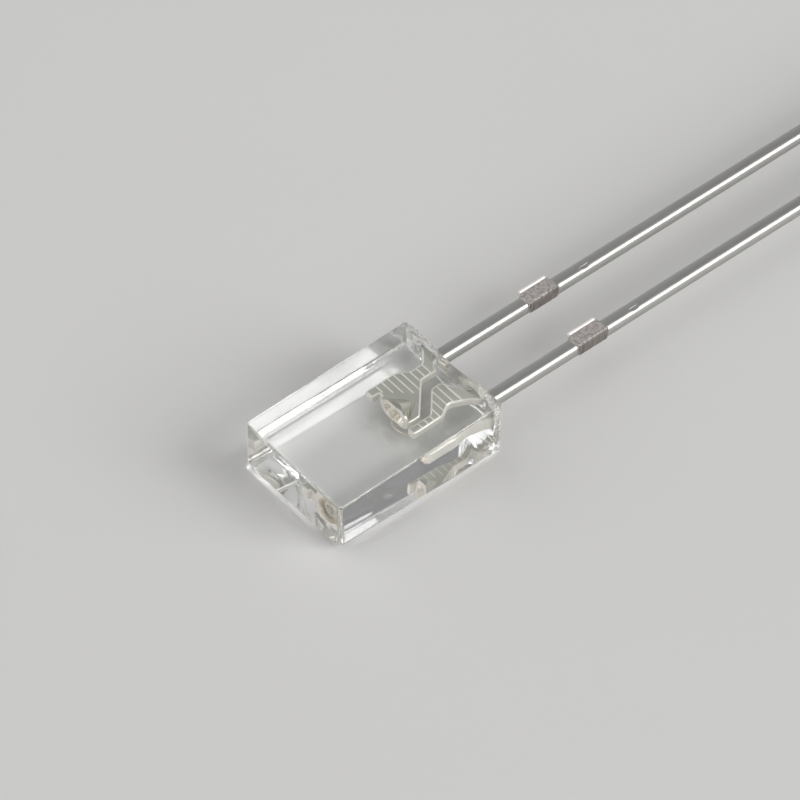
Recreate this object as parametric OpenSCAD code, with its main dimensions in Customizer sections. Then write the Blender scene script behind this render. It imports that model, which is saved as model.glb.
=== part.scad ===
// Clear rectangular light-emitting diode with two square leads, sizes in mm.
// The base plane is Y = 0, the light leaves towards -Y, the leads run towards +Y, +Z is up.

/* [Body] */
// Length of the clear body from the base to the emitting face
body_len = 7; // [5:0.1:10]
// Width of the body at its base
body_w = 5; // [4:0.1:7]
// Thickness of the body at its base
body_t = 2.4; // [2:0.05:3.5]
// Mould draft of each narrow side, in degrees
draft_w = 0.2; // [0:0.1:2]
// Mould draft of each broad side, in degrees
draft_t = 1.4; // [0:0.1:2]
// Radius of the top and bottom edges of the emitting face
front_r = 0.12; // [0.05:0.01:0.3]
// Radius of the upright edges at both ends
upright_r = 0.18; // [0.05:0.01:0.3]
// Radius of the long edges at the top
top_r = 0.1; // [0.05:0.01:0.3]
// Radius of the long edges at the bottom
bottom_r = 0.27; // [0.05:0.01:0.35]

/* [Base] */
// Depth of the hollow that the setting resin leaves in the base
dish_depth = 0.17; // [0.15:0.01:0.4]
// Width of the rim round that hollow
dish_rim = 0.07; // [0.05:0.01:0.3]
// How far the rim sags between the leads
rim_dip = 0.12; // [0.04:0.01:0.16]
// How far the resin creeps up each lead, from the base plane
creep_top = 0.22; // [0.1:0.01:0.4]
// Radius of the resin at the foot of that creep
creep_r = 0.6; // [0.45:0.01:0.75]
// Thickness of the creeping resin at its upper edge
creep_wall = 0.03; // [0.02:0.005:0.06]

/* [Leads] */
// Distance between the middles of the two leads
lead_pitch = 2.54; // [2.4:0.02:2.8]
// Side of the square leads, and thickness of the sheet they are stamped from
lead_size = 0.5; // [0.35:0.01:0.55]
// Radius of the long edges of the leads
lead_r = 0.12; // [0.05:0.01:0.15]
// Length of the cathode lead from the base plane
cathode_len = 26; // [12:0.5:30]
// Length of the anode lead from the base plane
anode_len = 28; // [12:0.5:32]
// Distance from the base plane to the stub of the cut tie bar
tie_pos = 4.27; // [2:0.1:8]
// Length of that stub along the lead
tie_len = 1.27; // [0.6:0.02:1.6]
// How far the stub stands out on the -X side
tie_out = 0.22; // [0.1:0.01:0.4]
// How far the stub stands out on the +X side
tie_in = 0.03; // [0.01:0.01:0.2]
// Radius of the rolled edge of the stub
tie_r = 0.07; // [0.04:0.01:0.09]
// How far the rolled edge stands above the sheet
tie_lip = 0.045; // [0.02:0.005:0.06]
// Size of the cut corner of the stub that faces the body
tie_nose = 0.1; // [0.05:0.01:0.2]
// Length of the swelling that leads up to the stub
tie_ramp = 0.22; // [0.05:0.01:0.3]
// Distance from the stub to the tool dent beyond it
dent_gap = 1.31; // [0.6:0.05:3]
// Length of the tool dent
dent_len = 0.5; // [0.3:0.05:0.8]
// Depth of the tool dent
dent_depth = 0.03; // [0.01:0.005:0.05]
// Distance of the dent's inner edge from the middle of the lead
dent_side = 0.04; // [0:0.01:0.1]

/* [Frame in the body] */
// Half of the frame's width
frame_half = 1.26; // [1.2:0.01:1.5]
// Distance from the base plane to the front of the frame
frame_front = 2.82; // [2.7:0.02:3.4]
// Where the leads begin to jog inwards, from the base plane
jog_start = 0.12; // [0.08:0.01:0.2]
// Where the jog of the facing edges ends, from the base plane
jog_end = 0.4; // [0.32:0.01:0.5]
// Where the jog of the cathode's outer edge ends, from the base plane
jog_out = 0.55; // [0.45:0.01:0.65]
// Where the jog of the anode's inner edge ends, from the base plane
anode_jog = 0.62; // [0.5:0.01:0.7]
// Where the necks end, from the base plane
neck_end = 1.04; // [0.95:0.01:1.15]
// Length of the shoulders that widen from the necks to the plates
shoulder_len = 0.5; // [0.4:0.01:0.6]
// Distance of the cathode neck's inner edge from the middle
neck_in = 0.43; // [0.36:0.01:0.5]
// Distance of the cathode neck's outer edge from the middle
neck_out = 0.98; // [0.9:0.01:1.1]
// Distance of the anode neck's inner edge from the middle
anode_in = 0.06; // [0.03:0.01:0.15]
// Distance of the anode neck's outer edge from the middle
anode_out = 0.95; // [0.85:0.01:1.05]
// Distance of the cathode plate's inner edge from the middle
plate_in = 0.78; // [0.74:0.01:0.82]
// Clearance between the cathode plate and the anode tip
tip_gap = 0.15; // [0.1:0.01:0.18]
// Angle of the slot between the two halves, in degrees
slot_deg = 42; // [40:0.5:44]
// Width of the ear at the cathode plate's front
ear_w = 0.38; // [0.3:0.01:0.42]
// Width of the notch beside the ear
notch_w = 0.14; // [0.1:0.01:0.16]
// Depth of the notch beside the ear
notch_depth = 0.1; // [0.08:0.01:0.16]
// Radius of the frame's corners
corner_r = 0.08; // [0.04:0.01:0.1]
// Radius of the frame's softer bends
bend_r = 0.24; // [0.12:0.01:0.26]
// Radius of the notch's corners
notch_r = 0.03; // [0.01:0.005:0.04]

/* [Grooves] */
// Distance from the base plane to the first groove
groove_start = 0.6; // [0.5:0.01:0.7]
// Distance between the grooves
groove_step = 0.257; // [0.22:0.001:0.27]
// Number of grooves
groove_count = 8; // [4:1:8]
// Number of grooves that cross the whole cathode
groove_full = 4; // [0:1:4]
// Distance from the middle at which the next groove ends
groove_stop = 0.15; // [0.1:0.01:0.3]
// Angle of the line on which the others end, in degrees
groove_slant = 42; // [35:1:45]
// Width of a groove
groove_w = 0.06; // [0.05:0.005:0.12]
// Depth of a groove
groove_depth = 0.011; // [0.008:0.001:0.03]

/* [Reflector cup] */
// Distance of the cup's axis from the middle
cup_x = 0.05; // [0:0.01:0.08]
// How far the rim of the cup lies behind the front of the frame
rim_back = 0.16; // [0.1:0.01:0.2]
// Depth of the cup
cup_depth = 0.38; // [0.34:0.01:0.44]
// Diameter of the cup's floor
cup_floor_d = 0.56; // [0.5:0.01:0.64]
// Diameter of the cup's mouth
cup_mouth_d = 1; // [0.9:0.01:1.1]
// Diameter of the rim
rim_d = 1.44; // [1.34:0.01:1.46]
// Height of the rim between its two flats
rim_flat = 1.22; // [1.18:0.01:1.3]
// Length of the straight land behind the rim
rim_land = 0.08; // [0.04:0.01:0.12]
// Length of the swelling behind the rim
swell_len = 0.76; // [0.6:0.01:0.85]
// Diameter at which the swelling begins
swell_d = 0.4; // [0.3:0.01:0.44]

/* [Chip and wire] */
// Side of the chip
chip_side = 0.28; // [0.2:0.01:0.32]
// Height of the chip
chip_h = 0.2; // [0.1:0.01:0.22]
// Diameter of the adhesive pad under the chip
pad_d = 0.44; // [0.42:0.01:0.48]
// Thickness of the adhesive pad
pad_h = 0.02; // [0.01:0.005:0.04]
// Diameter of the bond wire
wire_d = 0.03; // [0.02:0.005:0.04]
// How far the wire's loop stands out in front of the frame
wire_rise = 0.22; // [0.16:0.01:0.3]
// Diameter of the ball and of the stitch that end the wire
ball_d = 0.1; // [0.07:0.005:0.12]
// Thickness of the ball and of the stitch
ball_h = 0.03; // [0.025:0.005:0.04]

/* [Hidden] */
// Spare length of the shapes that cut
over = 1;
// Largest step of an arc in an outline, in degrees
arc_step = 15;
// Steps of the curved outlines that are turned round an axis
turn_steps = 12;
half_w = body_w / 2;
half_t = body_t / 2;
half_lead = lead_size / 2;
lead_x = lead_pitch / 2;
front_half_w = half_w - body_len * tan(draft_w);
front_half_t = half_t - body_len * tan(draft_t);
dish_half = half_t - dish_rim;
dish_r = (dish_half * dish_half + dish_depth * dish_depth) / (2 * dish_depth);
dish_end = half_w - dish_rim - dish_half;
dip_r = (lead_x * lead_x + rim_dip * rim_dip) / (2 * rim_dip);
slot_slope = tan(slot_deg);
shoulder_end = neck_end + shoulder_len;
tip_in = plate_in + tip_gap;
plate_corner = neck_end + (plate_in + neck_in) * slot_slope;
tip_corner = neck_end + (tip_in - anode_in) * slot_slope;
ear_in = ear_w - frame_half;
rim_y = rim_back - frame_front;
plate_front = rim_y + rim_land / 2;
floor_y = rim_y + cup_depth;
chip_top = floor_y - pad_h - chip_h;
wire_top = chip_top - ball_h;
wire_end = [(tip_in + frame_half) / 2, -frame_front - ball_h / 2];
loop_y = -frame_front - wire_rise;
rise_r = wire_top - loop_y;
loop_x = cup_x + rise_r;
fall_run = wire_end[0] - loop_x;
fall_drop = wire_end[1] - loop_y;
fall_r = (fall_run * fall_run + fall_drop * fall_drop) / (2 * fall_drop);
dent_r = (dent_len * dent_len / 4 + dent_depth * dent_depth) / (2 * dent_depth);

// Unit vector from one point to another
function toward(a, b) = (b - a) / norm(b - a);

// Points of one rounded corner at b, between a and c
function corner(a, b, c, r) =
    let (
        u = toward(b, a),
        v = toward(b, c),
        half = acos(u * v) / 2,
        middle = b + toward([0, 0], u + v) * r / sin(half),
        first = b + u * r / tan(half) - middle,
        last = b + v * r / tan(half) - middle,
        start = atan2(first[1], first[0]),
        swing = atan2(first[0] * last[1] - first[1] * last[0], first * last),
        steps = max(2, ceil(abs(swing) / arc_step))
    )
    [for (i = [0 : steps]) middle + r * [cos(start + swing * i / steps), sin(start + swing * i / steps)]];

// Outline through corner points, each written as [x, y, radius]
function rounded(p) =
    let (
        n = len(p),
        q = [for (e = p) [e[0], e[1]]]
    )
    [for (i = [0 : n - 1])
        each p[i][2] > 0 ? corner(q[(i + n - 1) % n], q[i], q[(i + 1) % n], p[i][2]) : [q[i]]];

// Stands a flat outline up so that it is extruded along Y from y0 to y1
module along_y(y0, y1) {
    translate([0, y1, 0])
        rotate([90, 0, 0])
            linear_extrude(y1 - y0)
                children();
}

// Turns an outline of [radius, distance towards -Y] round an axis along Y
module turned_y() {
    rotate([90, 0, 0])
        rotate_extrude()
            children();
}

// Rounds the long edge of the body in the +X, +Z corner
module long_edge_cut(r) {
    n = ceil(90 / arc_step);
    arc = [for (i = [0 : n]) r * [cos(90 * i / n) - 1, sin(90 * i / n) - 1]];
    before = 2 * arc[0] - arc[1];
    after = 2 * arc[n] - arc[n - 1];
    translate([half_w, 0, half_t])
        rotate([draft_t, 0, -draft_w])
            along_y(-body_len - over, over)
                polygon(concat([before], arc, [after, [over, over]]));
}

module body_block() {
    plan = rounded([
        [half_w, 0, upright_r],
        [-half_w, 0, upright_r],
        [-front_half_w, -body_len, upright_r],
        [front_half_w, -body_len, upright_r]
    ]);
    side = rounded([
        [0, half_t, 0],
        [0, -half_t, 0],
        [-body_len, -front_half_t, front_r],
        [-body_len, front_half_t, front_r]
    ]);
    difference() {
        intersection() {
            translate([0, 0, -half_t - over])
                linear_extrude(body_t + 2 * over)
                    polygon(plan);
            translate([-half_w - over, 0, 0])
                rotate([90, 0, 90])
                    linear_extrude(body_w + 2 * over)
                        polygon(side);
        }
        for (i = [0, 1])
            mirror([i, 0, 0]) {
                long_edge_cut(top_r);
                mirror([0, 0, 1])
                    long_edge_cut(bottom_r);
            }
    }
}

// Hollow left by the setting resin: a long round-ended trough
module base_dish() {
    step = 90 / turn_steps;
    profile = concat(
        [for (i = [0 : turn_steps]) [dish_r * sin(i * step), -dish_end - dish_r * cos(i * step)]],
        [for (i = [turn_steps : -1 : 0]) [dish_r * sin(i * step), dish_end + dish_r * cos(i * step)]]
    );
    translate([0, dish_r - dish_depth, 0])
        rotate([0, 90, 0])
            rotate_extrude($fn = 96)
                polygon(profile);
}

// Sag of the rim between the leads
module rim_sag() {
    translate([0, dip_r - rim_dip, -half_t - over])
        cylinder(r = dip_r, h = body_t + 2 * over, $fn = 180);
}

// Resin drawn up round each lead, with a hollow flank
module resin_creep() {
    height = creep_top + dish_depth;
    tip = half_lead + creep_wall;
    part = [for (i = [0 : turn_steps]) i / turn_steps];
    flank = [for (p = part) [tip + (creep_r - tip) * p * p, height * p]];
    for (side = [-1, 1])
        translate([side * lead_x, creep_top, 0])
            turned_y()
                polygon(concat([[0, 0]], flank, [[creep_r, height + creep_r], [0, height + creep_r]]));
}

module clear_body() {
    color([0.93, 0.95, 0.96, 0.35])
        difference() {
            union() {
                difference() {
                    body_block();
                    base_dish();
                    rim_sag();
                }
                resin_creep();
            }
            cathode_shape();
            anode_shape();
            chip_shape();
            pad_shape();
            wire_shape();
        }
}

// Straight square lead along Y from the jog
module straight_lead(length) {
    along_y(-jog_start, length)
        polygon(rounded([
            [-half_lead, -half_lead, lead_r],
            [half_lead, -half_lead, lead_r],
            [half_lead, half_lead, lead_r],
            [-half_lead, half_lead, lead_r]
        ]));
}

// Stub of the tie bar: torn on the +X side, rolled over on the -X side
module tie_stub() {
    left = -half_lead - tie_out + tie_r;
    right = half_lead + over;
    tie_end = tie_pos + tie_len;
    intersection() {
        translate([0, 0, -half_lead])
            linear_extrude(lead_size)
                polygon([
                    [0, tie_pos],
                    [right, tie_pos],
                    [right, tie_end],
                    [left, tie_end],
                    [left, tie_pos + tie_nose],
                    [left + tie_nose, tie_pos],
                    [lead_r - half_lead, tie_pos - tie_ramp],
                    [0, tie_pos - tie_ramp]
                ]);
        along_y(tie_pos - over, tie_end + over)
            polygon([
                [left - over, -half_lead],
                [half_lead, -half_lead],
                [half_lead + tie_in, half_lead],
                [left - over, half_lead]
            ]);
    }
    along_y(tie_pos + tie_nose / 2, tie_end - tie_r)
        translate([left, half_lead + tie_lip - tie_r])
            circle(r = tie_r);
}

module tool_dent() {
    translate([dent_side, tie_pos + tie_len + dent_gap, half_lead + dent_r - dent_depth])
        rotate([0, 90, 0])
            cylinder(r = dent_r, h = lead_size, $fn = 180);
}

// V grooves across both faces of the frame at distance y, from x0 to x1
module groove(y, x0, x1) {
    half = groove_w / 2;
    for (k = [0, 1])
        mirror([0, 0, k])
            translate([x0, -y, half_lead])
                rotate([90, 0, 90])
                    linear_extrude(x1 - x0)
                        polygon([[-half, over], [-half, 0], [0, -groove_depth], [half, 0], [half, over]]);
}

module cathode_plate() {
    inner = half_lead - lead_x;
    outer = -half_lead - lead_x;
    linear_extrude(lead_size, center = true)
        polygon(rounded([
            [inner, 0, 0],
            [inner, -jog_start, 0],
            [-neck_in, -jog_end, corner_r],
            [-neck_in, -neck_end, corner_r],
            [plate_in, -plate_corner, corner_r],
            [plate_in, plate_front, corner_r],
            [ear_in + notch_w, plate_front, notch_r],
            [ear_in + notch_w, plate_front + notch_depth, notch_r],
            [ear_in, plate_front + notch_depth, notch_r],
            [ear_in, -frame_front, corner_r],
            [-frame_half, -frame_front, corner_r],
            [-frame_half, -shoulder_end, bend_r],
            [-neck_out, -neck_end, bend_r],
            [-neck_out, -jog_out, bend_r],
            [outer, -jog_start, 0],
            [outer, 0, 0]
        ]));
}

// Swelling with flats that carries the reflector cup
module cup_boss() {
    intersection() {
        translate([cup_x, 0, 0])
            turned_y()
                polygon([
                    [0, -rim_y - swell_len],
                    [swell_d / 2, -rim_y - swell_len],
                    [rim_d / 2, -rim_y - rim_land],
                    [rim_d / 2, -rim_y],
                    [0, -rim_y]
                ]);
        cube([body_w, 2 * body_len, rim_flat], center = true);
    }
}

module cup_hollow() {
    translate([cup_x, 0, 0])
        turned_y()
            polygon([
                [0, -floor_y],
                [cup_floor_d / 2, -floor_y],
                [cup_mouth_d / 2, -rim_y],
                [cup_mouth_d / 2, -rim_y + over],
                [0, -rim_y + over]
            ]);
}

// Where groove number i ends on the cathode
function groove_inner(i) =
    i < groove_full ? plate_in : -groove_stop - (i - groove_full) * groove_step * tan(groove_slant);

module cathode_shape() {
    difference() {
        union() {
            cathode_plate();
            cup_boss();
            translate([-lead_x, 0, 0]) {
                straight_lead(cathode_len);
                tie_stub();
            }
        }
        cup_hollow();
        translate([-lead_x, 0, 0])
            tool_dent();
        for (i = [0 : groove_count - 1])
            groove(groove_start + i * groove_step, -half_w, groove_inner(i));
    }
}

module anode_plate() {
    inner = lead_x - half_lead;
    outer = lead_x + half_lead;
    linear_extrude(lead_size, center = true)
        polygon(rounded([
            [outer, 0, 0],
            [outer, -jog_start, 0],
            [lead_x, -jog_end, bend_r],
            [anode_out, -neck_end, bend_r],
            [frame_half, -shoulder_end, bend_r],
            [frame_half, -frame_front, corner_r],
            [tip_in, -frame_front, corner_r],
            [tip_in, -tip_corner, corner_r],
            [anode_in, -neck_end, bend_r],
            [anode_in, -anode_jog, bend_r],
            [inner, -jog_start, 0],
            [inner, 0, 0]
        ]));
}

module anode_shape() {
    difference() {
        union() {
            anode_plate();
            translate([lead_x, 0, 0]) {
                straight_lead(anode_len);
                tie_stub();
            }
        }
        translate([lead_x, 0, 0])
            tool_dent();
        for (i = [0 : groove_count - 1])
            groove(groove_start + i * groove_step, 0, half_w);
    }
}

module pad_shape() {
    translate([cup_x, floor_y, 0])
        rotate([90, 0, 0])
            cylinder(d = pad_d, h = pad_h);
}

module chip_shape() {
    translate([cup_x - chip_side / 2, chip_top, -chip_side / 2])
        cube([chip_side, chip_h, chip_side]);
}

// Quarter turn out of the cup, then a flat arc down to the anode's front
module wire_shape() {
    translate([cup_x, chip_top, 0])
        rotate([90, 0, 0])
            cylinder(d = ball_d, h = ball_h);
    translate([wire_end[0], -frame_front, 0])
        rotate([90, 0, 0])
            cylinder(d = ball_d, h = ball_h);
    translate([loop_x, wire_top, 0])
        rotate([0, 0, 180])
            rotate_extrude(angle = 90)
                translate([rise_r, 0])
                    circle(d = wire_d);
    translate([loop_x, loop_y + fall_r, 0])
        rotate([0, 0, 270])
            rotate_extrude(angle = asin(fall_run / fall_r))
                translate([fall_r, 0])
                    circle(d = wire_d);
}

module cathode_lead() {
    color([0.75, 0.75, 0.73])
        cathode_shape();
}

module anode_lead() {
    color([0.75, 0.75, 0.73])
        anode_shape();
}

module led_chip() {
    color([0.55, 0.55, 0.5])
        chip_shape();
}

module chip_adhesive() {
    color([0.82, 0.82, 0.82])
        pad_shape();
}

module bond_wire() {
    color([0.9, 0.72, 0.35])
        wire_shape();
}

clear_body();
cathode_lead();
anode_lead();
led_chip();
chip_adhesive();
bond_wire();
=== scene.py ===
import math

import bmesh
import bpy
from mathutils import Matrix, Vector


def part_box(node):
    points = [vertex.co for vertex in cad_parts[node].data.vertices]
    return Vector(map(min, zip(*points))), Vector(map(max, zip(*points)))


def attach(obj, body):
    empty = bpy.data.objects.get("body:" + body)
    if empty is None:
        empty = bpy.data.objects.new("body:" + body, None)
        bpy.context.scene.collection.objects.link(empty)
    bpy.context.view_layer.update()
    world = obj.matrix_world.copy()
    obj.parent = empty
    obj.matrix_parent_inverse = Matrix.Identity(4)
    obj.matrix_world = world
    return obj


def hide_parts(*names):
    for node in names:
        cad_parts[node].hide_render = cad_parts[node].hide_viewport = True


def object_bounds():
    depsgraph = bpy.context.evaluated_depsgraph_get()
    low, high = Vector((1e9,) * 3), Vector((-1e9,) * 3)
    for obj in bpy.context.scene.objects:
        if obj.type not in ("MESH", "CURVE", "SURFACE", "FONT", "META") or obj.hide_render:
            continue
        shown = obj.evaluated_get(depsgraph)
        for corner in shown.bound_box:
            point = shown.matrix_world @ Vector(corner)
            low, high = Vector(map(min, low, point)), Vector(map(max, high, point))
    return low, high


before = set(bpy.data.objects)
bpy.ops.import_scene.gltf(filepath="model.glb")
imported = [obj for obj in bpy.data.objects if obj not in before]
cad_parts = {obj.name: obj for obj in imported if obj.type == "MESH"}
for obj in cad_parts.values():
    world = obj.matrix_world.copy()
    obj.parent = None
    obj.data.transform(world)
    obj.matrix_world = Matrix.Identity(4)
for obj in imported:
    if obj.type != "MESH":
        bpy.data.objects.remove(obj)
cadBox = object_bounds()
mm = 0.001
scene = bpy.context.scene
scene.view_settings.view_transform = "Standard"
# light that comes through the clear body stays sharp and is followed until it leaves the body
scene.cycles.blur_glossy = 0.0
scene.cycles.max_bounces = 32
scene.cycles.transmission_bounces = 32
scene.cycles.glossy_bounces = 16


# A socket that can stand in a Python sum: each sum adds the Math node it needs
class Value:
    def __init__(self, graph, socket):
        self.graph = graph
        self.socket = socket

    def join(self, operation, first, second):
        return self.graph.node("ShaderNodeMath", {"operation": operation}, {0: first, 1: second})

    def __add__(self, other):
        return self.join("ADD", self, other)

    def __radd__(self, other):
        return self.join("ADD", other, self)

    def __sub__(self, other):
        return self.join("SUBTRACT", self, other)

    def __rsub__(self, other):
        return self.join("SUBTRACT", other, self)

    def __mul__(self, other):
        return self.join("MULTIPLY", self, other)

    def __rmul__(self, other):
        return self.join("MULTIPLY", other, self)


# The nodes of a material or of the world
class Graph:
    def __init__(self, tree):
        self.tree = tree

    # settings are set first, then the sockets get their values or links
    def node(self, kind, settings=None, sockets=None, output=0):
        made = self.tree.nodes.new(kind)
        for key, value in (settings or {}).items():
            if key == "stops":
                fillRamp(made.color_ramp, value)
            else:
                setattr(made, key, value)
        for key, value in (sockets or {}).items():
            self.feed(made.inputs[key], value)
        return Value(self, made.outputs[output])

    def feed(self, socket, value):
        if isinstance(value, Value):
            self.tree.links.new(value.socket, socket)
        else:
            socket.default_value = value

    def place(self, kind="Object"):
        return self.node("ShaderNodeTexCoord", output=kind)

    def axis(self, place, letter):
        return self.node("ShaderNodeSeparateXYZ", None, {0: place}, letter)

    def inMm(self, place, letter):
        return self.axis(place, letter) * (1 / mm)

    def single(self, operation, value):
        return self.node("ShaderNodeMath", {"operation": operation}, {0: value})

    def stretch(self, place, scale):
        return self.node("ShaderNodeVectorMath", {"operation": "MULTIPLY"}, {0: place, 1: scale})

    def noise(self, place, scale, detail=3.0, rough=0.5):
        sockets = {"Vector": place, "Scale": scale, "Detail": detail, "Roughness": rough}
        return self.node("ShaderNodeTexNoise", None, sockets)

    # 0 below low, 1 above high, eased between
    def rise(self, value, low, high):
        sockets = {0: value, 1: low, 2: high, 3: 0.0, 4: 1.0}
        return self.node("ShaderNodeMapRange", {"interpolation_type": "SMOOTHSTEP"}, sockets)

    # 0 before an edge and 1 past it: the edge is a place and how far it fades to each side
    def past(self, value, edge):
        at, fade = edge
        return self.rise(value, at - fade, at + fade)

    def before(self, value, edge):
        return 1 - self.past(value, edge)

    # a least value, and how much more the noise adds
    def vary(self, noise, span):
        least, more = span
        return least + more * noise

    def blend(self, share, first, second):
        return first * (1 - share) + second * share

    def mix(self, share, first, second):
        return self.node("ShaderNodeMix", {"data_type": "RGBA"}, {0: share, 6: first, 7: second}, 2)

    # heights are in mm
    def bump(self, height):
        return self.node("ShaderNodeBump", None, {"Strength": 1.0, "Distance": mm, "Height": height})


# One material: a Principled shader and the nodes that feed it
class Finish(Graph):
    def __init__(self, name, **fixed):
        self.material = bpy.data.materials.new(name)
        self.material.use_nodes = True
        super().__init__(self.material.node_tree)
        self.shader = self.tree.nodes["Principled BSDF"]
        self.drive(**fixed)

    def drive(self, **inputs):
        for key, value in inputs.items():
            self.feed(self.shader.inputs[key.replace("_", " ")], value)


def fillRamp(ramp, stops):
    while len(ramp.elements) > 1:
        ramp.elements.remove(ramp.elements[-1])
    for i, (at, colour) in enumerate(stops):
        element = ramp.elements[0] if i == 0 else ramp.elements.new(at)
        element.position = at
        element.color = (*colour, 1)


def rgb(red, green, blue):
    return (red, green, blue, 1)


# Camera: turned about the part, looking down at it, as the photograph does
view = {"azimuth": 49.798, "elevation": 47.995, "roll": 0.208, "distance": 200, "pixelsPerMm": 29.786,
        "right": -1.805, "up": -0.481, "imageSide": 800, "sensor": 36, "clipNear": 0.01, "clipFar": 20}


def makeCamera():
    turn, lift, roll = (math.radians(view[k]) for k in ("azimuth", "elevation", "roll"))
    back = Vector((math.sin(turn) * math.cos(lift), -math.cos(turn) * math.cos(lift), math.sin(lift)))
    level = Vector((math.cos(turn), math.sin(turn), 0))
    upright = back.cross(level)
    right = level * math.cos(roll) + upright * math.sin(roll)
    up = upright * math.cos(roll) - level * math.sin(roll)
    target = right * view["right"] + up * view["up"]
    data = bpy.data.cameras.new("photoCamera")
    data.sensor_width = view["sensor"]
    data.lens = view["sensor"] * view["pixelsPerMm"] * view["distance"] / view["imageSide"]
    data.clip_start = view["clipNear"]
    data.clip_end = view["clipFar"]
    camera = bpy.data.objects.new("photoCamera", data)
    place = Matrix.Translation((target + back * view["distance"]) * mm)
    camera.matrix_world = place @ Matrix((right, up, back)).transposed().to_4x4()
    scene.collection.objects.link(camera)
    scene.camera = camera


makeCamera()
print("camera set")


# Clear body: rings of points from the emitting face to the middle of the hollow base
body = {"draftWide": 0.2, "draftThick": 1.4, "frontRadius": 0.12, "uprightRadius": 0.18, "topRadius": 0.1,
        "bottomRadius": 0.27, "rimRadius": 0.05, "rimWidth": 0.07, "dishDepth": 0.17, "rimDip": 0.12,
        "creepTop": 0.22, "creepReach": 0.13, "leadX": 1.27, "leadHalf": 0.25, "frontShare": (0.97, 0.95),
        "edgeGap": 0.06, "baseFrom": -0.4, "dishSpread": 0.7, "dishGap": 0.02, "radiusLimit": 0.9,
        "cornerSteps": 10, "wideSteps": 170, "thinSteps": 60, "edgeSteps": 10, "sideRings": 10,
        "baseRings": 10, "rimSteps": 3, "dishRings": 50}
bodyLow, bodyHigh = (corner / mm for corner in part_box("clear_body"))
halfWide, halfThick, bodyLength = bodyHigh.x, bodyHigh.z, -bodyLow.y


# Rectangle in X and Z with its own radius at the top and at the bottom, always of the same number of points
def ring(halfX, halfZ, spread=0.0):
    corners = ((1, 1, "topRadius"), (-1, 1, "topRadius"), (-1, -1, "bottomRadius"), (1, -1, "bottomRadius"))
    arcs = []
    for k, (sx, sz, name) in enumerate(corners):
        radius = min(body[name] + spread, body["radiusLimit"] * halfZ)
        centre = Vector((sx * (halfX - radius), sz * (halfZ - radius)))
        angles = (math.radians(90 * (k + i / body["cornerSteps"])) for i in range(body["cornerSteps"] + 1))
        arcs.append([centre + radius * Vector((math.cos(a), math.sin(a))) for a in angles])
    points = []
    for k, arc in enumerate(arcs):
        count = body["wideSteps"] if k % 2 == 0 else body["thinSteps"]
        after = arcs[(k + 1) % 4][0]
        points += arc + [arc[-1].lerp(after, i / count) for i in range(1, count)]
    return points


# How far a rounded edge of this radius falls back at a distance from the end
def fallBack(distance, radius):
    if distance >= radius:
        return 0.0
    return radius - math.sqrt(radius ** 2 - (radius - distance) ** 2)


def halfSizes(y):
    wide = halfWide + y * math.tan(math.radians(body["draftWide"]))
    thick = halfThick + y * math.tan(math.radians(body["draftThick"]))
    return wide, thick


def wallRing(y):
    wide, thick = halfSizes(y)
    fromEnd, upright = y + bodyLength, body["uprightRadius"]
    wide -= max(fallBack(fromEnd, upright), fallBack(-y, upright))
    return [Vector((p.x, y, p.y)) for p in ring(wide, thick - fallBack(fromEnd, body["frontRadius"]))]


def circleThrough(half, depth):
    return (half ** 2 + depth ** 2) / (2 * depth)


# The rim sags between the leads
def rimHeight(x):
    radius = circleThrough(body["leadX"], body["rimDip"])
    return min(0.0, radius - body["rimDip"] - math.sqrt(radius ** 2 - x ** 2))


# Surface that the resin set to: a trough between the walls that climbs each lead
def baseHeight(x, z):
    halfDish = halfThick - body["rimWidth"]
    radius = circleThrough(halfDish, body["dishDepth"])
    beyond = max(abs(x) - (halfWide - body["rimWidth"] - halfDish), 0)
    across = min(math.hypot(beyond, z), halfDish)
    trough = radius - body["dishDepth"] - math.sqrt(radius ** 2 - across ** 2)
    trough = min(trough, rimHeight(x))
    off = min(math.hypot(max(abs(x - side * body["leadX"]) - body["leadHalf"], 0),
                         max(abs(z) - body["leadHalf"], 0)) for side in (-1, 1))
    return trough + (body["creepTop"] - trough) * math.exp(-off / body["creepReach"])


# Flat of the emitting face, its rounded edge, the walls, the rim, then the trough
def resinRings():
    upright, rim = body["uprightRadius"], body["rimRadius"]
    frontX, frontZ = body["frontShare"]
    rings = [[Vector((p.x * frontX, p.y, p.z * frontZ)) for p in wallRing(-bodyLength)]]
    for i in range(body["edgeSteps"] + 1):
        share = 1 - math.cos(math.radians(90 * i / body["edgeSteps"]))
        rings.append(wallRing(-bodyLength + upright * share))
    first, last = -bodyLength + upright + body["edgeGap"], body["baseFrom"]
    for i in range(body["sideRings"] + 1):
        rings.append(wallRing(first + (last - first) * i / body["sideRings"]))
    slope = math.tan(math.radians(body["draftThick"]))
    for i in range(1, body["baseRings"] + 1):
        share = math.sin(math.radians(90 * i / body["baseRings"]))
        points = wallRing(last * (1 - share) - rim * share)
        for p in points:
            lower = rimHeight(p.x) * share
            p.z -= math.copysign(lower * slope, p.z)
            p.y += lower
        rings.append(points)
    wide, thick = halfSizes(0)
    wide -= fallBack(rim, upright)
    for i in range(1, body["rimSteps"] + 1):
        a = math.radians(90 * i / body["rimSteps"])
        inset = rim * (1 - math.cos(a))
        points = ring(wide - inset, thick - inset, -inset)
        rings.append([Vector((p.x, rimHeight(p.x) - rim * (1 - math.sin(a)), p.y)) for p in points])
    deepest = thick - rim - body["dishGap"]
    for i in range(1, body["dishRings"] + 1):
        inset = rim + deepest * i / body["dishRings"]
        points = ring(wide - inset, thick - inset, body["dishSpread"] * inset)
        rings.append([Vector((p.x, baseHeight(p.x, p.y), p.y)) for p in points])
    return rings


def meshPiece(name, mesh, slot, *nodes):
    piece = bpy.data.objects.new(name, mesh)
    scene.collection.objects.link(piece)
    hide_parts(*nodes)
    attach(piece, "root")
    return piece


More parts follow.
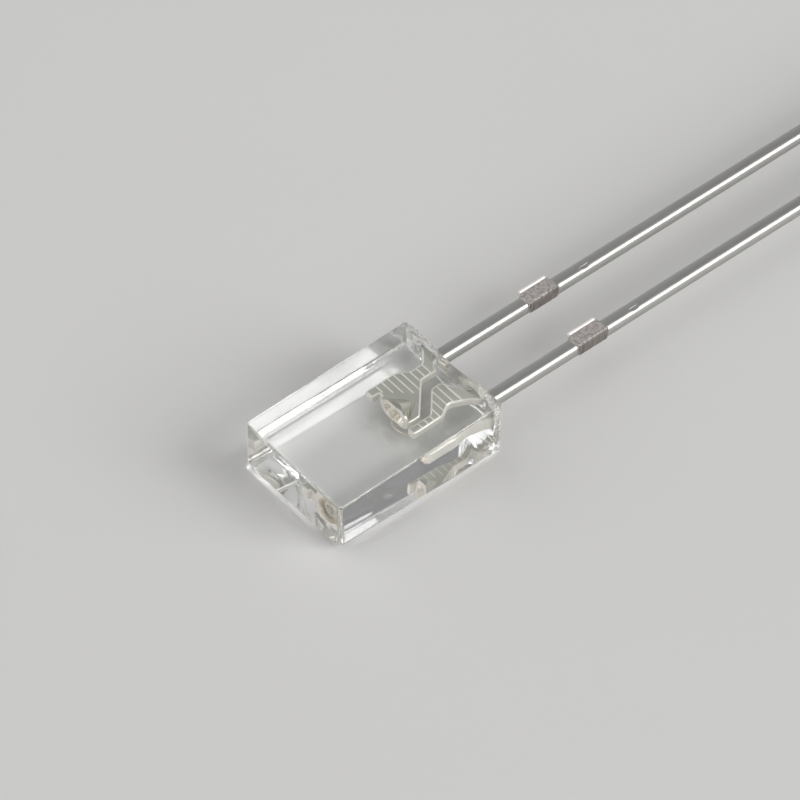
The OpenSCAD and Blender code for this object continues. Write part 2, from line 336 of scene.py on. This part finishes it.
# Large flat faces keep their own direction, small ones between them shade as a curve
def weighNormals(piece):
    weigh = piece.modifiers.new("flatSides", "WEIGHTED_NORMAL")
    weigh.mode = "FACE_AREA"
    weigh.weight = 100
    return weigh


def buildResin():
    shape = bmesh.new()
    loops = [[shape.verts.new(p * mm) for p in points] for points in resinRings()]
    count = len(loops[0])
    for near, far in zip(loops, loops[1:]):
        for i in range(count):
            shape.faces.new((near[i], near[(i + 1) % count], far[(i + 1) % count], far[i]))
    shape.faces.new(reversed(loops[0]))
    shape.faces.new(loops[-1])
    bmesh.ops.recalc_face_normals(shape, faces=shape.faces)
    for face in shape.faces:
        face.smooth = True
    mesh = bpy.data.meshes.new("resinBody")
    shape.to_mesh(mesh)
    shape.free()
    piece = meshPiece("resinBody", mesh, "clear_resin", "clear_body")
    weighNormals(piece)
    return piece


resinBody = buildResin()
print("clear body made:", len(resinBody.data.polygons), "faces")


# Leads: the shape of the CAD nodes, with the edges that stamping rolled over
sheet = {"weld": 0.0002, "flat": 0.5, "roll": 0.07, "rollSteps": 6, "half": 0.25, "inside": -0.1,
         "rimAt": -2.66, "rimRoll": 0.025, "rimSteps": 3, "crease": 17, "stubFrom": 4.0, "stubTo": 5.62,
         "stubAngle": 55, "stubRoll": 0.025, "wallTilt": 0.15, "wallReach": 0.9, "flatTilt": 0.8,
         "flatReach": 1.02, "rimTilt": 0.9, "rimClose": 0.001}


# Edges between the flat of the sheet, or a groove in it, and a wall that goes through the sheet
def outlineEdges(shape):
    found = []
    for edge in shape.edges:
        middle = (edge.verts[0].co + edge.verts[1].co) / (2 * mm)
        wall, flat = sorted(edge.link_faces, key=lambda face: abs(face.normal.z))
        wallHeight = abs(wall.calc_center_median().z) / mm
        wallReach, flatReach = sheet["wallReach"] * sheet["half"], sheet["flatReach"] * sheet["half"]
        upright = abs(wall.normal.z) < sheet["wallTilt"] and wallHeight < wallReach
        level = abs(flat.normal.z) > sheet["flatTilt"] and abs(middle.z) < flatReach
        if edge.is_convex and upright and level and middle.y < sheet["inside"]:
            found.append(edge)
    return found


# Edges of the stub that the tie bar leaves
def stubEdges(shape):
    found = []
    for edge in shape.edges:
        onStub = all(sheet["stubFrom"] < v.co.y / mm < sheet["stubTo"] for v in edge.verts)
        if onStub and edge.is_convex and edge.calc_face_angle(0) > math.radians(sheet["stubAngle"]):
            found.append(edge)
    return found


# Edges of the flat ring at the mouth of the cup
def rimEdges(shape):
    found = []
    for edge in shape.edges:
        onRim = all(abs(v.co.y / mm - sheet["rimAt"]) < sheet["rimClose"] for v in edge.verts)
        turned = min(abs(face.normal.y) for face in edge.link_faces) < sheet["rimTilt"]
        if onRim and turned and edge.is_convex:
            found.append(edge)
    return found


def rollEdges(shape, found, width, steps):
    bmesh.ops.bevel(shape, geom=found, offset=width * mm, offset_type="OFFSET", segments=steps, profile=0.5,
                    affect="EDGES", clamp_overlap=False, loop_slide=False)


def buildLead(name, node):
    shape = bmesh.new()
    shape.from_mesh(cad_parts[node].data)
    bmesh.ops.remove_doubles(shape, verts=shape.verts, dist=sheet["weld"] * mm)
    flat = math.radians(sheet["flat"])
    bmesh.ops.dissolve_limit(shape, angle_limit=flat, verts=shape.verts, edges=shape.edges)
    rollEdges(shape, outlineEdges(shape), sheet["roll"], sheet["rollSteps"])
    rollEdges(shape, rimEdges(shape), sheet["rimRoll"], sheet["rimSteps"])
    rollEdges(shape, stubEdges(shape), sheet["stubRoll"], sheet["rimSteps"])
    for face in shape.faces:
        face.smooth = True
    for edge in shape.edges:
        edge.smooth = edge.calc_face_angle(0) < math.radians(sheet["crease"])
    mesh = bpy.data.meshes.new(name)
    shape.to_mesh(mesh)
    shape.free()
    piece = meshPiece(name, mesh, "plated_lead", node)
    weighNormals(piece).keep_sharp = True
    return piece


cathodeLead = buildLead("cathodeLead", "cathode_lead")
anodeLead = buildLead("anodeLead", "anode_lead")
print("leads made:", len(cathodeLead.data.polygons), "and", len(anodeLead.data.polygons), "faces")


# Water-clear epoxy with the faint waves that a mould leaves. The face that set in the open is crinkled,
# most of all beyond the leads
resin = {"clear": rgb(0.985, 0.99, 0.985), "hazy": rgb(0.96, 0.97, 0.965), "index": 1.53,
         "hazeSize": 2500, "hazeMarks": (0.5, 0.9), "waveSize": 900, "waveDepth": 0.0006,
         "crinkleSize": 5000, "crinkleDepth": 0.05, "calm": 0.2,
         "baseStarts": (-0.275, 0.175), "endsStart": (1.625, 0.175)}


def clearResin():
    finish = Finish("clearResin", Roughness=0.0, IOR=resin["index"], Transmission_Weight=1.0)
    place = finish.place()
    haze = finish.rise(finish.noise(place, resin["hazeSize"], 4.0), *resin["hazeMarks"])
    nearBase = finish.past(finish.inMm(place, "Y"), resin["baseStarts"])
    ends = finish.past(finish.single("ABSOLUTE", finish.inMm(place, "X")), resin["endsStart"])
    loose = nearBase * finish.blend(ends, resin["calm"], 1.0)
    crinkle = finish.noise(place, resin["crinkleSize"], 2.0) * loose * resin["crinkleDepth"]
    wave = finish.noise(place, resin["waveSize"], 1.0) * resin["waveDepth"]
    finish.drive(Base_Color=finish.mix(haze, resin["clear"], resin["hazy"]),
                 Normal=finish.bump(wave + crinkle))
    return finish.material


# Plated steel: matte inside the resin, drawn and brighter outside, bare and torn at the cut tie bar
lead = {
    # mouth is painted pale: a painted highlight on the rim of the cup
    "silver": rgb(0.54, 0.535, 0.513), "inside": rgb(0.53, 0.535, 0.482), "mouth": rgb(0.90, 0.86, 0.80),
    # burnished is a paler colour: a painted highlight on the grooves, edges and walls
    "burnishedHighlight": rgb(0.87, 0.845, 0.79), "cone": rgb(0.74, 0.73, 0.66), "mirror": rgb(0.86, 0.80, 0.72),
    # rolled is painted pale: a painted highlight on the rolled edge and the burr line of the stub
    "torn": rgb(0.58, 0.535, 0.51), "tornDark": rgb(0.34, 0.31, 0.295), "rolled": rgb(0.94, 0.90, 0.875),
    "sheared": rgb(0.17, 0.148, 0.135), "shearedLight": rgb(0.29, 0.26, 0.243),
    # how rough each finish is, with what a noise adds, and how metallic
    "silverRough": (0.3, 0.16), "cloudRough": 0.1, "insideRough": (0.42, 0.14), "burnishedRough": 0.36,
    "coneRough": (0.16, 0.08), "mirrorRough": 0.22, "tornRough": (0.4, 0.2),
    "insideMetal": 0.55, "drawnMetal": 0.45, "coneMetal": 0.45, "wallMetal": 0.2, "grooveMetal": -0.25,
    # noises by their number to the metre, relief in mm, and the part of a noise that shows as marks
    "streakSize": (30000, 700, 30000), "tearSize": (3000, 16000, 1500), "grainSize": 26000,
    "cloudSize": 1800, "patchSize": 8000, "streakDepth": 0.0016, "grainDepth": 0.0014, "patchDepth": 0.012,
    "crown": 1.0, "ragged": 0.14, "tornMarks": (0.35, 0.62), "shearedMarks": (0.4, 0.65),
    "burrMarks": (0.42, 0.56),
    # where one finish gives way to the next, in mm, and how far it fades to each side
    "resinEnds": (-0.1, 0.15), "tieStarts": (4.22, 0.03), "tieEnds": (5.56, 0.03), "cupX": 0.05,
    "cupRadius": (0.5, 0.01), "cupFloor": (-2.28, 0.02), "mouthRadius": (0.745, 0.015),
    "mouthEnds": (sheet["rimAt"] + 0.03, 0.01), "grooveTop": (sheet["half"] - 0.0009, 0.0005),
    "wallTop": (sheet["half"] - 0.0165, 0.0035), "coneFoot": (sheet["half"] + 0.015, 0.005),
    "rollEnds": (-0.33, 0.02), "burrStarts": (0.2, 0.012), "burrEnds": (0.25, 0.012),
    "shearFace": (0.249, 0.004),
}


def platedLead():
    finish = Finish("platedLead")
    place = finish.place()
    x, y, z = (finish.inMm(place, letter) for letter in "XYZ")
    across = x - finish.single("SIGN", x) * body["leadX"]
    high = finish.single("ABSOLUTE", z)
    streak = finish.noise(finish.stretch(place, lead["streakSize"]), 1.0, 4.0, 0.6)
    tear = finish.noise(finish.stretch(place, lead["tearSize"]), 1.0, 3.0, 0.6)
    grain = finish.noise(place, lead["grainSize"], 5.0, 0.65)
    cloud = finish.noise(place, lead["cloudSize"], 3.0)
    patch = finish.noise(place, lead["patchSize"], 4.0, 0.7)
    outside = finish.past(y, lead["resinEnds"])
    tie = finish.past(y, lead["tieStarts"]) * finish.before(y, lead["tieEnds"])
    drawn = outside * (1 - tie)
    # the inside and the mouth of the cup, by the distance from its axis; the rim at the mouth is painted
    # pale, a painted highlight
    cupAxis = (lead["cupX"] * mm, 0, 0)
    offAxis = finish.node("ShaderNodeVectorMath", {"operation": "SUBTRACT"}, {0: place, 1: cupAxis})
    offAxis = finish.stretch(offAxis, (1 / mm, 0, 1 / mm))
    radius = finish.node("ShaderNodeVectorMath", {"operation": "LENGTH"}, {0: offAxis}, "Value")
    hollow = finish.before(radius, lead["cupRadius"]) * finish.before(y, lead["cupFloor"])
    mouth = finish.before(radius, lead["mouthRadius"]) * finish.before(y, lead["mouthEnds"])
    # the grooves, just below the flat of the sheet, and the edges and walls are burnished smoother, and
    # painted paler as a painted highlight
    workedAndHighlit = finish.before(high, lead["grooveTop"]) * (1 - outside)
    wall = finish.before(high, lead["wallTop"]) * (1 - outside)
    groove = workedAndHighlit - wall
    # the outside of the cup stands out of the sheet and is drawn smooth
    cone = finish.past(high, lead["coneFoot"]) * (1 - outside) * (1 - mouth)
    colour = finish.mix(workedAndHighlit, finish.mix(mouth, lead["inside"], lead["mouth"]), lead["burnishedHighlight"])
    colour = finish.mix(cone, colour, lead["cone"])
    colour = finish.mix(hollow, colour, lead["mirror"])
    colour = finish.mix(outside, colour, lead["silver"])
    # the stub is torn on top, sheared on one side and rolled over with a ragged edge on the other; the
    # rolled edge and a thin line along the top by the sheared side are painted pale as painted highlights
    torn = finish.mix(finish.rise(patch, *lead["tornMarks"]), lead["tornDark"], lead["torn"])
    sheared = finish.mix(finish.rise(tear, *lead["shearedMarks"]), lead["sheared"], lead["shearedLight"])
    shear = finish.past(across, lead["shearFace"])
    ragged = across + (patch - 0.5) * lead["ragged"]
    roll = finish.before(ragged, lead["rollEnds"])
    burrHighlight = finish.past(ragged, lead["burrStarts"]) * finish.before(ragged, lead["burrEnds"]) * (1 - shear)
    edgeHighlights = roll + burrHighlight * finish.rise(tear, *lead["burrMarks"]) * (1 - roll)
    stub = finish.mix(edgeHighlights, finish.mix(shear, torn, sheared), lead["rolled"])
    rough = finish.blend(workedAndHighlit, finish.vary(grain, lead["insideRough"]), lead["burnishedRough"])
    rough = finish.blend(cone, rough, finish.vary(grain, lead["coneRough"]))
    rough = finish.blend(hollow, rough, lead["mirrorRough"])
    silverRough = finish.vary(streak, lead["silverRough"]) + lead["cloudRough"] * cloud
    rough = finish.blend(outside, rough, silverRough)
    rough = finish.blend(tie, rough, finish.vary(grain, lead["tornRough"]))
    metal = lead["insideMetal"] + lead["drawnMetal"] * drawn + lead["coneMetal"] * cone
    metal = metal + lead["wallMetal"] * wall + lead["grooveMetal"] * groove
    relief = streak * drawn * lead["streakDepth"] + grain * lead["grainDepth"]
    relief = relief + patch * tie * lead["patchDepth"]
    # drawing leaves the faces of the leads slightly crowned
    crown = (across * across + z * z) * drawn * lead["crown"]
    finish.drive(Base_Color=finish.mix(tie, colour, stub), Metallic=finish.blend(hollow, metal, 1.0),
                 Roughness=rough, Normal=finish.bump(relief - crown))
    return finish.material


# Colour and roughness that follow one noise
def grained(finish, look):
    grain = finish.noise(finish.place(), look["grainSize"], look["detail"])
    finish.drive(Base_Color=finish.mix(grain, look["dark"], look["pale"]),
                 Roughness=finish.vary(grain, look["rough"]))
    return finish.material


chip = {"dark": rgb(0.30, 0.31, 0.27), "pale": rgb(0.42, 0.42, 0.36), "rough": (0.2, 0.2),
        "grainSize": 40000, "detail": 3.0, "index": 2.4, "coat": 0.3}


def chipCrystal():
    return grained(Finish("chipCrystal", IOR=chip["index"], Coat_Weight=chip["coat"]), chip)


adhesive = {"dark": rgb(0.55, 0.55, 0.54), "pale": rgb(0.78, 0.78, 0.76), "rough": (0.4, 0.2),
            "grainSize": 60000, "detail": 4.0, "metal": 0.8}


def silverAdhesive():
    return grained(Finish("silverAdhesive", Metallic=adhesive["metal"]), adhesive)


wire = {"dark": rgb(0.93, 0.84, 0.64), "pale": rgb(0.97, 0.90, 0.74), "rough": (0.16, 0.1),
        "grainSize": 50000, "detail": 2.0}


def goldWire():
    return grained(Finish("goldWire", Metallic=1.0), wire)


def dress(piece, material):
    piece.data.materials.clear()
    piece.data.materials.append(material)


dress(resinBody, clearResin())
leadMetal = platedLead()
for piece in (cathodeLead, anodeLead):
    dress(piece, leadMetal)
dress(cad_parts["led_chip"], chipCrystal())
dress(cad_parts["chip_adhesive"], silverAdhesive())
dress(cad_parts["bond_wire"], goldWire())
print("finishes set")


# Pale floor under the lowest edge of the body
floor = {"side": 3.0, "cells": 8, "gap": 0.002, "colour": rgb(0.64, 0.636, 0.626),
         "worn": rgb(0.66, 0.656, 0.646), "wornSize": 60, "rough": 0.7}


def makeFloor():
    shape = bmesh.new()
    cells = floor["cells"]
    bmesh.ops.create_grid(shape, x_segments=cells, y_segments=cells, size=floor["side"] / 2)
    mesh = bpy.data.meshes.new("floor")
    shape.to_mesh(mesh)
    shape.free()
    piece = bpy.data.objects.new("floor", mesh)
    piece.location.z = cadBox[0].z - floor["gap"] * mm
    scene.collection.objects.link(piece)
    finish = Finish("paleFloor", Roughness=floor["rough"])
    worn = finish.noise(finish.place(), floor["wornSize"], 2.0)
    finish.drive(Base_Color=finish.mix(worn, floor["colour"], floor["worn"]))
    dress(piece, finish.material)


# Soft studio light: two large softboxes and a world that is pale at the horizon
softboxes = (
    {"name": "keySoftbox", "from": (0.77, 0.42, 0.48), "away": 0.5, "side": 0.3, "radiance": 5.7},
    {"name": "fillSoftbox", "from": (-0.52, -0.52, 0.68), "away": 0.55, "side": 0.88, "radiance": 0.86},
)
# The wall behind the key is lit by it
sky = {"stops": ((0.0, (0.6, 0.6, 0.6)), (0.5, (0.72, 0.72, 0.72)), (0.58, (0.64, 0.64, 0.64)),
                 (0.72, (0.36, 0.36, 0.365)), (0.86, (0.215, 0.215, 0.22)), (1.0, (0.22, 0.22, 0.225))),
       "glow": 0.45, "glowNear": 18, "glowFar": 48}


def makeLights():
    for box in softboxes:
        light = bpy.data.lights.new(box["name"], "AREA")
        light.size = box["side"]
        light.energy = box["radiance"] * math.pi * box["side"] ** 2
        lamp = bpy.data.objects.new(box["name"], light)
        direction = Vector(box["from"]).normalized()
        lamp.location = direction * box["away"]
        lamp.rotation_mode = "QUATERNION"
        lamp.rotation_quaternion = direction.to_track_quat("Z", "Y")
        lamp.visible_camera = False
        scene.collection.objects.link(lamp)


def makeSky():
    world = bpy.data.worlds.new("studio")
    world.use_nodes = True
    scene.world = world
    graph = Graph(world.node_tree)
    look = graph.place("Generated")
    height = 0.5 + 0.5 * graph.axis(look, "Z")
    plain = graph.node("ShaderNodeValToRGB", {"stops": sky["stops"]}, {0: height})
    key = Vector(softboxes[0]["from"]).normalized()
    toKey = graph.node("ShaderNodeVectorMath", {"operation": "DOT_PRODUCT"}, {0: look, 1: key}, "Value")
    near, far = (math.cos(math.radians(sky[name])) for name in ("glowNear", "glowFar"))
    glow = graph.rise(toKey, far, near) * sky["glow"]
    colour = graph.node("ShaderNodeVectorMath", {"operation": "ADD"}, {0: plain, 1: glow})
    graph.feed(world.node_tree.nodes["Background"].inputs[0], colour)


makeFloor()
makeLights()
makeSky()
print("floor and light set")
